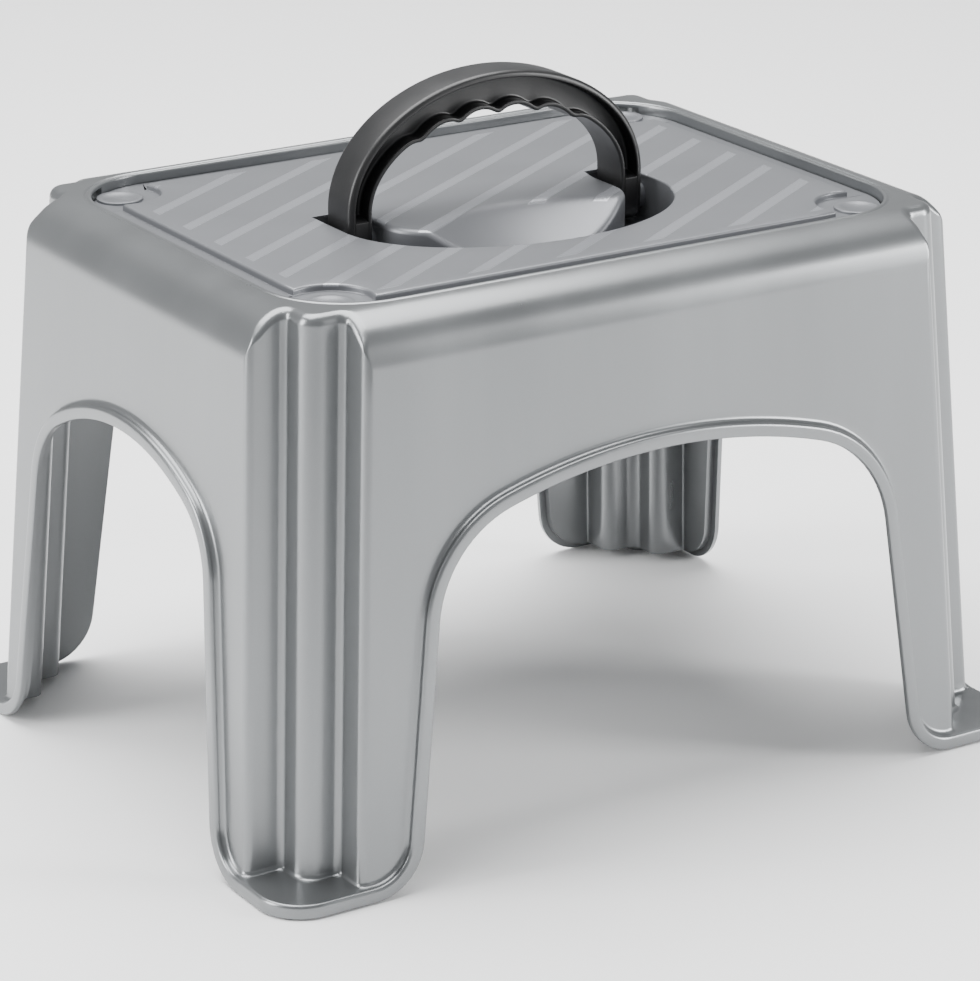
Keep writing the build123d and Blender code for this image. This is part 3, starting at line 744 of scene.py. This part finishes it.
def flange_outline(size, rim, line):
    """The flange's outer edge beside the tread's outline: a rounded rectangle.

    Each point is pushed straight out to the edge, and each corner cut is spread evenly over its corner's arc.
    """
    half = rim - size.gap
    radius = bpy.context.scene.stool_shell.rim_corner - size.gap
    inset = inset_of(line, *half, radius)
    push = unit(np.sign(line) * np.maximum(np.abs(line) - (half - radius), 0) + 1e-9 * line)
    for _ in range(12):
        line = line + inset[:, None] * push
        inset = inset_of(line, *half, radius)
        push = unit(np.sign(line) * np.maximum(np.abs(line) - (half - radius), 0) + 1e-9 * line)
    for first, last in CUT_COLUMNS:
        centre = np.sign(line[first]) * (half - radius)
        turn = np.unwrap(np.arctan2(*(line[[first, last]] - centre).T[::-1]))
        turn = np.linspace(turn[0], turn[1], last - first + 1)
        line[first:last + 1] = centre + radius * np.stack([np.cos(turn), np.sin(turn)], axis=-1)
    return line


def tread_rows(size, rim, inner):
    """The tread's flat top from the pocket's mouth outwards, its rounded edge, and the flange with its side."""
    top, flange = PANEL_HIGH.z, SHELL_HIGH.z - bpy.context.scene.stool_shell.rim_drop + size.flange
    bevel, foot = size.bevel, 0.5 * MM

    def level(grow, height):
        line = tread_outline(size, rim, grow)
        return np.column_stack([line, np.full(len(line), height)])

    turn = np.linspace(0, QUARTER, 6)
    edge = [level(-bevel * (1 - math.sin(t)), top - bevel * (1 - math.cos(t))) for t in turn]
    root = [level(foot * (1 - math.cos(t)), flange + foot * (1 - math.sin(t))) for t in turn]
    rows = [*lerp(inner, edge[0], np.linspace(0, 1, 7)[:-1]), *edge, *root]
    outer = flange_outline(size, rim, root[-1][:, :2])
    small = SMALL
    shrink = 1 - small / np.linalg.norm(outer, axis=-1, keepdims=True)
    rows.append(np.column_stack([outer * shrink, np.full(len(outer), flange)]))
    rows.append(np.column_stack([outer, np.full(len(outer), flange - small)]))
    rows.append(np.column_stack([outer, np.full(len(outer), flange - size.flange + 0.1 * MM)]))
    return np.stack(rows)


def panel_mesh(size, rim):
    """The panel's upper skin: trench, hump and tread grids that share their border points, and two end walls."""
    trench, hump_edge = trench_rows(size)
    hump = hump_rows(size, trench[-1], hump_edge)
    inner = np.concatenate([trench[0], hump[-1][::-1]])
    tread = tread_rows(size, rim, inner)
    faces, points, count = [], [], 0
    for grid, closed in ((trench, False), (hump, False), (tread, True)):
        quads = grid_faces(*grid.shape[:2], closed_rows=False, closed_columns=closed)
        faces.append(quads.reshape(-1, 4) + count)
        points.append(grid.reshape(-1, 3))
        count += len(points[-1])
    rows, columns = trench.shape[:2]
    near = np.arange(rows // 2 - 1)
    for column in (0, columns - 1):
        far = rows - 1 - near
        faces.append(np.stack([near, near + 1, far - 1, far], axis=-1) * columns + column)
    return np.concatenate(points), np.concatenate(faces)


# ---- handle ----------------------------------------------------------------------------------------------

def handle_stations(size):
    """Outer and inner line of the handle, from the left eye over the grip to the right eye, and its depth there.

    Below the hinge the depth shrinks as the cosine of the eye's angle while the height falls as its sine. The
    legs are straight, and the grip runs between two half ellipses. Scallops are arcs cut into the inner one.
    """
    half, depth = HANDLE_HIGH.x, HANDLE_HIGH.y
    hinge = HANDLE_LOW.z + depth
    spring = hinge + size.shoulder
    inner_half = half - size.leg_width
    outer_rise = HANDLE_HIGH.z - spring
    inner_rise = outer_rise - size.grip_height
    scallop_drop = math.sqrt(size.scallop ** 2 - (size.cusp_pitch / 2) ** 2)

    eye = np.linspace(-QUARTER, 0, 12, endpoint=False)
    eye_z = hinge + depth * np.sin(eye)
    leg_z = np.concatenate([np.linspace(hinge, hinge + size.eye_web - 1.5 * MM, 4),
                            hinge + size.eye_web + np.linspace(-1.2, 1.2, 9) * MM])
    bend = np.linspace(0, np.pi, 241)
    across = inner_half * np.cos(bend)

    def dent(x):
        """How far a scallop reaches above the cusps' line at a place along the grip."""
        off = np.abs((x / size.cusp_pitch) % 1.0 - 0.5) * size.cusp_pitch
        arc = np.sqrt(size.scallop ** 2 - off ** 2) - scallop_drop
        return np.where(np.abs(x) > 2.5 * size.cusp_pitch, size.scallop - scallop_drop, arc)

    spread = np.linspace(-1, 1, 9)[:, None] * size.cusp_round
    rise = inner_rise - size.cusp_height + dent(across[None] + spread).mean(axis=0)
    rest = inner_rise - (inner_rise - size.cusp_height + size.scallop - scallop_drop)
    rise = rise + rest * np.clip((np.abs(across) - 2.5 * size.cusp_pitch) / size.grip_ease, 0, 1)
    outer = np.stack([half * np.cos(bend), spring + outer_rise * np.sin(bend)], axis=-1)
    inner = np.stack([across, spring + rise * np.sin(bend)], axis=-1)

    low_z = np.concatenate([eye_z, leg_z])
    low_outer = np.stack([np.full(len(low_z), half), low_z], axis=-1)
    low_inner = np.stack([np.full(len(low_z), inner_half), low_z], axis=-1)
    low_depth = np.concatenate([depth * np.cos(eye), np.full(len(leg_z), depth)])
    hollow = np.clip((low_z - hinge - size.eye_web) / size.eye_ease + 0.5, 0, 1)
    hollow = hollow * hollow * (3 - 2 * hollow)
    flip = np.array([-1, 1])
    outer = np.concatenate([low_outer, outer, low_outer[::-1] * flip])
    inner = np.concatenate([low_inner, inner, low_inner[::-1] * flip])
    ones = np.ones(len(bend))
    return (outer, inner, np.concatenate([low_depth, ones * depth, low_depth[::-1]]),
            np.concatenate([hollow, ones, hollow[::-1]]))


def handle_points(size):
    """The handle's closed section carried along its stations: two flanges with a web between them.

    Half a section is a list of (distance from the nearer face, height of the side) pairs, and the web runs out
    into solid eyes at the hinge.
    """
    outer, inner, depth, hollow = handle_stations(size)
    full = HANDLE_HIGH.y
    web = size.web / 2
    turn = np.linspace(0, QUARTER, 6)

    edge, inner_edge, fillet = size.edge, size.inner_edge, size.web_fillet
    outer_side = [(0.0, 0.0)] + [(edge * (1 - math.cos(a)), full - edge * (1 - math.sin(a))) for a in turn]
    near = size.outer_flange
    small = size.flange_round
    lip_out = [(near - small * (1 - math.sin(a)), full - small * (1 - math.cos(a))) for a in turn]
    root_out = [(near + fillet * (1 - math.cos(a)), web + fillet * (1 - math.sin(a))) for a in turn]
    outer_part = np.array(outer_side + lip_out + root_out)
    far = size.inner_flange
    root_in = [(far + fillet * (1 - math.sin(a)), web + fillet * (1 - math.cos(a))) for a in turn]
    lip_in = [(far - small * (1 - math.cos(a)), full - small * (1 - math.sin(a))) for a in turn]
    round_in = [(inner_edge * (1 - math.sin(a)), full - inner_edge * (1 - math.cos(a))) for a in turn]
    inner_part = np.array(root_in + lip_in + round_in + [(0.0, 0.0)])

    width = np.linalg.norm(inner - outer, axis=-1)
    across = unit(inner - outer)
    reach = np.concatenate([outer_part[:, 0][None] + np.zeros((len(width), 1)),
                            width[:, None] - inner_part[:, 0][None]], axis=1)
    side = np.concatenate([outer_part[:, 1], inner_part[:, 1]])
    raised = np.where(side < full - 2 * edge, full, side)
    is_web = (side < full - size.edge) & (side > 0)
    side = np.where(is_web[None], side[None] * hollow[:, None] + raised[None] * (1 - hollow[:, None]),
                    side[None])
    side = side * (depth / full)[:, None]
    plan = outer[:, None] + across[:, None] * reach[..., None]
    front = np.stack([plan[..., 0], -side, plan[..., 1]], axis=-1)
    back = np.stack([plan[..., 0], side, plan[..., 1]], axis=-1)
    return np.concatenate([front, back[:, -2:0:-1]], axis=1)


# ---- materials -----------------------------------------------------------------------------------------

class Finish:
    """A node material being built up, with short names for the nodes that these finishes use."""

    def __init__(self, name, colour, roughness, metallic=0.0, coat=0.0, coat_roughness=0.1):
        self.material = bpy.data.materials.new(name)
        self.material.use_nodes = True
        self.tree = self.material.node_tree
        self.shader = self.tree.nodes["Principled BSDF"]
        self.shader.inputs["Base Color"].default_value = (*colour, 1)
        self.shader.inputs["Roughness"].default_value = roughness
        self.shader.inputs["Metallic"].default_value = metallic
        self.shader.inputs["Coat Weight"].default_value = coat
        self.shader.inputs["Coat Roughness"].default_value = coat_roughness
        self.place = self.tree.nodes.new("ShaderNodeTexCoord").outputs["Object"]

    def link(self, output, socket):
        self.tree.links.new(output, socket)

    def noise(self, scale, detail=3.0, stretch=(1, 1, 1)):
        """Noise over the object's coordinates, stretched by a Mapping node."""
        mapping = self.tree.nodes.new("ShaderNodeMapping")
        mapping.inputs["Scale"].default_value = stretch
        self.link(self.place, mapping.inputs["Vector"])
        node = self.tree.nodes.new("ShaderNodeTexNoise")
        node.inputs["Scale"].default_value = scale
        node.inputs["Detail"].default_value = detail
        self.link(mapping.outputs["Vector"], node.inputs["Vector"])
        return node.outputs["Fac"]

    def remap(self, value, low, high, out_low, out_high, smooth=False):
        """A value's range carried onto another range, and clamped."""
        node = self.tree.nodes.new("ShaderNodeMapRange")
        node.interpolation_type = "SMOOTHSTEP" if smooth else "LINEAR"
        limits = {"From Min": low, "From Max": high, "To Min": out_low, "To Max": out_high}
        for socket, number in limits.items():
            node.inputs[socket].default_value = number
        self.link(value, node.inputs["Value"])
        return node.outputs["Result"]

    def math(self, operation, first, second):
        """One sum on two values, either of which may be a plain number."""
        node = self.tree.nodes.new("ShaderNodeMath")
        node.operation = operation
        for socket, value in zip(node.inputs, (first, second)):
            if isinstance(value, (int, float)):
                socket.default_value = value
            else:
                self.link(value, socket)
        return node.outputs[0]

    def blend(self, share, first, second):
        """A mix of two colours."""
        node = self.tree.nodes.new("ShaderNodeMix")
        node.data_type = "RGBA"
        node.inputs[6].default_value = (*first, 1) if len(first) == 3 else first
        node.inputs[7].default_value = (*second, 1) if len(second) == 3 else second
        self.link(share, node.inputs["Factor"])
        return node.outputs[2]

    def bump(self, height, strength, distance):
        """A bump from a height, laid over any bump that is already there."""
        node = self.tree.nodes.new("ShaderNodeBump")
        node.inputs["Strength"].default_value = strength
        node.inputs["Distance"].default_value = distance
        self.link(height, node.inputs["Height"])
        earlier = self.shader.inputs["Normal"].links
        if earlier:
            self.link(earlier[0].from_socket, node.inputs["Normal"])
        self.link(node.outputs["Normal"], self.shader.inputs["Normal"])

    def colour(self, output):
        self.link(output, self.shader.inputs["Base Color"])

    def roughness(self, output):
        self.link(output, self.shader.inputs["Roughness"])


def shade(colour, factor):
    """A colour made lighter or darker."""
    return tuple(min(1.0, c * factor) for c in colour)


def silver_shell(look):
    """Glossy silver moulding: metal flake in clear plastic, with upright flow streaks and fine orange peel."""
    f = Finish("silver shell", look.silver, 0.3, metallic=0.8, coat=0.35, coat_roughness=0.12)
    streaks = f.noise(22, 4, (1, 1, 0.12))
    flake = f.noise(2600, 1)
    tone = f.math("ADD", f.remap(streaks, 0.3, 0.7, 0.0, 0.75), f.remap(flake, 0.35, 0.65, 0.0, 0.25))
    f.colour(f.blend(tone, shade(look.silver, 0.93), shade(look.silver, 1.07)))
    f.roughness(f.remap(streaks, 0.3, 0.7, 0.27, 0.33))
    f.bump(f.noise(260, 2), 0.04, 0.0004)
    f.bump(flake, 0.05, 0.00005)
    return f.material


def stripes(f, look):
    """One along each slanted stripe of the tread and nought between them, on its top faces alone."""
    split = f.tree.nodes.new("ShaderNodeVectorMath")
    split.operation = "DOT_PRODUCT"
    split.inputs[1].default_value = (-math.sin(look.stripe_angle), math.cos(look.stripe_angle), 0)
    f.link(f.place, split.inputs[0])
    phase = f.math("DIVIDE", f.math("SUBTRACT", split.outputs["Value"], look.stripe_shift), look.stripe_pitch)
    along = f.math("FRACT", f.math("ADD", phase, 0.5), 0)
    away = f.math("ABSOLUTE", f.math("SUBTRACT", along, 0.5), 0)
    half = look.stripe_width / look.stripe_pitch / 2
    band = f.remap(away, half - 0.01, half + 0.01, 1.0, 0.0, smooth=True)
    axes = f.tree.nodes.new("ShaderNodeSeparateXYZ")
    f.link(f.place, axes.inputs[0])
    high = f.remap(axes.outputs["Z"], PANEL_HIGH.z - 1.5 * MM, PANEL_HIGH.z - MM, 0.0, 1.0)
    inside = []
    for axis, edge in (("X", PANEL_HIGH.x), ("Y", PANEL_HIGH.y)):
        away = f.math("ABSOLUTE", axes.outputs[axis], 0)
        start = edge - look.stripe_margin
        inside.append(f.remap(away, start, start + MM, 1.0, 0.0))
    return f.math("MULTIPLY", f.math("MULTIPLY", band, high), f.math("MULTIPLY", *inside))


def silver_tread(look):
    """Satin silver tread, finely eroded, crossed by smoother and slightly raised stripes."""
    f = Finish("silver tread", look.satin, 0.42, metallic=0.55, coat=0.15, coat_roughness=0.3)
    band = stripes(f, look)
    grain = f.noise(1500, 2)
    cloud = f.noise(30, 3)
    plain = f.blend(cloud, shade(look.satin, 0.94), shade(look.satin, 1.05))
    mixer = f.tree.nodes.new("ShaderNodeMix")
    mixer.data_type = "RGBA"
    f.link(band, mixer.inputs["Factor"])
    f.link(plain, mixer.inputs[6])
    mixer.inputs[7].default_value = (*shade(look.satin, 1.9), 1)
    f.colour(mixer.outputs[2])
    f.roughness(f.remap(band, 0, 1, 0.42, 0.27))
    f.bump(grain, 0.10, 0.0001)
    f.bump(band, 0.35, 0.0002)
    return f.material


def black_handle(look):
    """Satin black moulding with a fine grain and slightly polished patches."""
    f = Finish("black handle", look.black, 0.38, coat=0.1, coat_roughness=0.3)
    cloud = f.noise(45, 3)
    f.colour(f.blend(cloud, shade(look.black, 0.85), shade(look.black, 1.25)))
    f.roughness(f.remap(cloud, 0.3, 0.7, 0.33, 0.43))
    f.bump(f.noise(900, 3), 0.12, 0.0002)
    return f.material


def drawn_steel(look):
    """Bright drawn steel with fine lines round the pin."""
    f = Finish("pin steel", look.steel, 0.3, metallic=1.0)
    lines = f.noise(60, 2, (40, 1, 1))
    f.roughness(f.remap(lines, 0.3, 0.7, 0.22, 0.4))
    f.colour(f.blend(lines, shade(look.steel, 0.9), shade(look.steel, 1.08)))
    return f.material


def pad_rubber(look):
    """Matt rubber with a coarse, slightly dusty grain."""
    f = Finish("pad rubber", look.rubber, 0.75)
    grain = f.noise(420, 4)
    f.colour(f.blend(grain, shade(look.rubber, 0.8), shade(look.rubber, 1.6)))
    f.roughness(f.remap(grain, 0.3, 0.7, 0.68, 0.85))
    f.bump(grain, 0.3, 0.0003)
    return f.material


# ---- operators -------------------------------------------------------------------------------------------

class STEPSTOOL_OT_shell(bpy.types.Operator):
    """Build the shell: notched legs, arches with their edging, rounded top, rim and deck"""
    bl_idname = "step_stool.shell"
    bl_label = "Shell"

    def execute(self, context):
        size = context.scene.stool_shell
        rows, slots, walk = shell_rows(size)
        faces = grid_faces(*rows.shape[:2], closed_rows=True, closed_columns=True)
        faces = with_slots(faces, slots, walk, size)
        material = silver_shell(context.scene.stool_finish)
        make_piece("shell_moulding", rows, faces, "stool", "silver_shell", material, "shell")
        make_piece("shell_ribs", *rib_plates(size), "stool", "silver_shell", material)
        return {"FINISHED"}


class STEPSTOOL_OT_tread_panel(bpy.types.Operator):
    """Build the tread panel: striped tread, flange, pocket, hump, corner discs and hinge bosses"""
    bl_idname = "step_stool.tread_panel"
    bl_label = "Tread panel"

    def execute(self, context):
        size, shell = context.scene.stool_panel, context.scene.stool_shell
        side = np.array([SHELL_HIGH.x, SHELL_HIGH.y]) + shell.draft * (SHELL_LOW.z - SHELL_HIGH.z)
        rim = side - shell.lip_step - shell.rim_inset
        material = silver_tread(context.scene.stool_finish)
        points, faces = panel_mesh(size, rim)
        panel = make_piece("tread_moulding", points, faces, "stool", "silver_tread", material, "tread_panel")
        upward = sum(p.area * p.normal.z for p in panel.data.polygons)
        if upward < 0:
            panel.data.flip_normals()
        thick = panel.modifiers.new("wall", "SOLIDIFY")
        thick.thickness, thick.offset = size.wall, -1

        flange = SHELL_HIGH.z - shell.rim_drop + size.flange
        rise, radius, sunk, small = size.disc_rise, size.disc_r, 0.5 * MM, SMALL
        inner_edge, dish = radius - size.disc_border, radius - 1.2 * size.disc_border
        disc = [(-sunk, 0), (-sunk, radius), (rise - small, radius),
                (rise - 0.3 * small, radius - 0.3 * small), (rise, radius - small), (rise, inner_edge),
                (rise - small, dish), (rise - small, 0)]
        for across, end_name in ((-1, "left"), (1, "right")):
            for along, row_name in ((-1, "front"), (1, "rear")):
                centre = (across * (rim[0] - size.cut_inset), along * (rim[1] - size.cut_inset), flange)
                ring = turned(centre, (0, 0, 1), disc, 56)
                ring_faces = grid_faces(*ring.shape[:2], closed_rows=False, closed_columns=True)
                name = f"tread_disc_{row_name}_{end_name}"
                make_piece(name, ring, ring_faces, "stool", "silver_tread", material)
        handle = context.scene.stool_handle
        hinge = HANDLE_LOW.z + HANDLE_HIGH.y
        half, _, hump_half, _ = pocket_sizes()
        leg = HANDLE_HIGH.x - handle.leg_width
        spans = {"inner": (hump_half - small, leg - size.boss_gap),
                 "outer": (half + small, HANDLE_HIGH.x + size.boss_gap)}
        for across, end_name in ((-1, "left"), (1, "right")):
            for place, (start, stop) in spans.items():
                run = abs(stop - start)
                radius = size.boss_r
                profile = [(0, 0), (0, radius), (run - small, radius), (run, radius - small), (run, 0)]
                way = (across * math.copysign(1, stop - start), 0, 0)
                boss = turned((across * start, 0, hinge), way, profile, 40)
                boss_faces = grid_faces(*boss.shape[:2], closed_rows=False, closed_columns=True)
                name = f"hinge_boss_{place}_{end_name}"
                make_piece(name, boss, boss_faces, "stool", "silver_tread", material)
        return {"FINISHED"}


class STEPSTOOL_OT_handle(bpy.types.Operator):
    """Build the handle: an arched grip with flanges, a web and finger cusps"""
    bl_idname = "step_stool.handle"
    bl_label = "Handle"

    def execute(self, context):
        points = handle_points(context.scene.stool_handle)
        faces = grid_faces(*points.shape[:2], closed_rows=False, closed_columns=True)
        make_piece("carrying_handle", points, faces, "handle", "black_handle",
                   black_handle(context.scene.stool_finish), "handle", sharp=50)
        return {"FINISHED"}


class STEPSTOOL_OT_hinge_pins(bpy.types.Operator):
    """Build the two hinge pins with their chamfered ends"""
    bl_idname = "step_stool.hinge_pins"
    bl_label = "Hinge pins"

    def execute(self, context):
        material = drawn_steel(context.scene.stool_finish)
        for node in ("hinge_pin_left", "hinge_pin_right"):
            low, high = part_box(node)
            radius, run = (high.z - low.z) / 2, high.x - low.x
            cut = SMALL
            profile = [(0, 0), (0, radius - cut), (cut, radius), (run / 2, radius), (run - cut, radius),
                       (run, radius - cut), (run, 0)]
            points = turned((low.x, (low.y + high.y) / 2, (low.z + high.z) / 2), (1, 0, 0), profile, 32)
            faces = grid_faces(*points.shape[:2], closed_rows=False, closed_columns=True)
            make_piece(f"{node}_steel", points, faces, "stool", "pin_steel", material, node)
        return {"FINISHED"}


class STEPSTOOL_OT_foot_pads(bpy.types.Operator):
    """Build the four rubber foot pads with ringed soles"""
    bl_idname = "step_stool.foot_pads"
    bl_label = "Foot pads"

    def execute(self, context):
        material = pad_rubber(context.scene.stool_finish)
        for node in sorted(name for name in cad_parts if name.startswith("foot_pad")):
            low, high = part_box(node)
            radius, tall = (high.x - low.x) / 2, high.z - low.z
            groove, edge = 0.5 * MM, 1.0 * MM
            profile = [(0, 0)]
            for start in (0.3, 0.62):  # a groove's shares of the radius: its two edges and its flat bottom
                profile += [(0, radius * start), (groove, radius * (start + 0.04)),
                            (groove, radius * (start + 0.12)), (0, radius * (start + 0.16))]
            profile += [(0, radius - edge), (edge * 0.3, radius - edge * 0.3), (edge, radius),
                        (tall - edge, radius), (tall, radius - 0.3 * edge), (tall, 0)]
            centre = ((low.x + high.x) / 2, (low.y + high.y) / 2, low.z)
            points = turned(centre, (0, 0, 1), profile, 48)
            faces = grid_faces(*points.shape[:2], closed_rows=False, closed_columns=True)
            make_piece(f"{node}_rubber", points, faces, "stool", "pad_rubber", material, node)
        return {"FINISHED"}


def add_light(name, place, aim, width, height, power):
    """A soft rectangular light that points at a place."""
    lamp = bpy.data.lights.new(name, "AREA")
    lamp.shape = "RECTANGLE"
    lamp.size, lamp.size_y, lamp.energy = width, height, power
    holder = bpy.data.objects.new(name, lamp)
    holder.location = place
    holder.rotation_euler = (Vector(aim) - Vector(place)).to_track_quat("-Z", "Y").to_euler()
    bpy.context.scene.collection.objects.link(holder)


class STEPSTOOL_OT_stage(bpy.types.Operator):
    """Set the floor, the soft studio lights and the camera"""
    bl_idname = "step_stool.stage"
    bl_label = "Stage"

    def execute(self, context):
        size = context.scene.stool_stage
        half = 6.0
        floor = bpy.data.meshes.new("floor")
        corners = [(-half, -half, 0), (half, -half, 0), (half, half, 0), (-half, half, 0)]
        floor.from_pydata(corners, [], [(0, 1, 2, 3)])
        ground = bpy.data.objects.new("floor", floor)
        context.scene.collection.objects.link(ground)
        ground.data.materials.append(Finish("pale floor", size.floor, 0.9).material)

        world = bpy.data.worlds.new("studio")
        world.use_nodes = True
        world.node_tree.nodes["Background"].inputs["Color"].default_value = (0.96, 0.98, 1.0, 1)
        world.node_tree.nodes["Background"].inputs["Strength"].default_value = 0.45
        context.scene.world = world
        aim = (0, 0, 0.12)
        add_light("overhead", (0.0, 0.5, 2.3), aim, 2.6, 2.2, 150)
        add_light("left wall", (-2.0, 0.5, 0.9), aim, 0.9, 1.4, 46)
        add_light("right front", (1.9, -1.7, 0.8), aim, 0.6, 1.4, 55)

        target = Vector((0.0015, 0, 0.1035))
        level = math.cos(size.elevation)
        back = Vector((math.sin(size.azimuth) * level, -math.cos(size.azimuth) * level,
                       math.sin(size.elevation)))
        lens = bpy.data.cameras.new("camera")
        lens.lens, lens.sensor_width = size.lens, 36.0
        camera = bpy.data.objects.new("camera", lens)
        camera.location = target + back * size.distance
        camera.rotation_euler = (-back).to_track_quat("-Z", "Y").to_euler()
        context.scene.collection.objects.link(camera)
        context.scene.camera = camera
        return {"FINISHED"}


class VIEW3D_PT_step_stool(bpy.types.Panel):
    bl_label = "Step Stool"
    bl_space_type = "VIEW_3D"
    bl_region_type = "UI"
    bl_category = "Step Stool"

    def draw(self, context):
        for operator in OPERATORS:
            self.layout.operator(operator.bl_idname)
        for group in SETTINGS:
            box = self.layout.box()
            for name in getattr(context.scene, group).bl_rna.properties.keys():
                if name not in ("rna_type", "name"):
                    box.prop(getattr(context.scene, group), name)


OPERATORS = (STEPSTOOL_OT_stage, STEPSTOOL_OT_shell, STEPSTOOL_OT_tread_panel, STEPSTOOL_OT_handle,
             STEPSTOOL_OT_hinge_pins, STEPSTOOL_OT_foot_pads)
SETTINGS = {"stool_shell": ShellSizes, "stool_panel": PanelSizes, "stool_handle": HandleSizes,
            "stool_stage": StageSizes, "stool_finish": Finishes}


def register():
    """Make the settings, the operators and the panel known to Blender."""
    for name, group in SETTINGS.items():
        bpy.utils.register_class(group)
        setattr(bpy.types.Scene, name, PointerProperty(type=group))
    for operator in OPERATORS:
        bpy.utils.register_class(operator)
    bpy.utils.register_class(VIEW3D_PT_step_stool)


def unregister():
    """Take them away again, last one first."""
    bpy.utils.unregister_class(VIEW3D_PT_step_stool)
    for operator in reversed(OPERATORS):
        bpy.utils.unregister_class(operator)
    for name, group in SETTINGS.items():
        delattr(bpy.types.Scene, name)
        bpy.utils.unregister_class(group)


def main():
    """Build the stool piece by piece."""
    register()
    bpy.ops.step_stool.stage()
    bpy.ops.step_stool.shell()
    bpy.ops.step_stool.tread_panel()
    bpy.ops.step_stool.handle()
    bpy.ops.step_stool.hinge_pins()
    bpy.ops.step_stool.foot_pads()


if __name__ == "__main__":
    main()
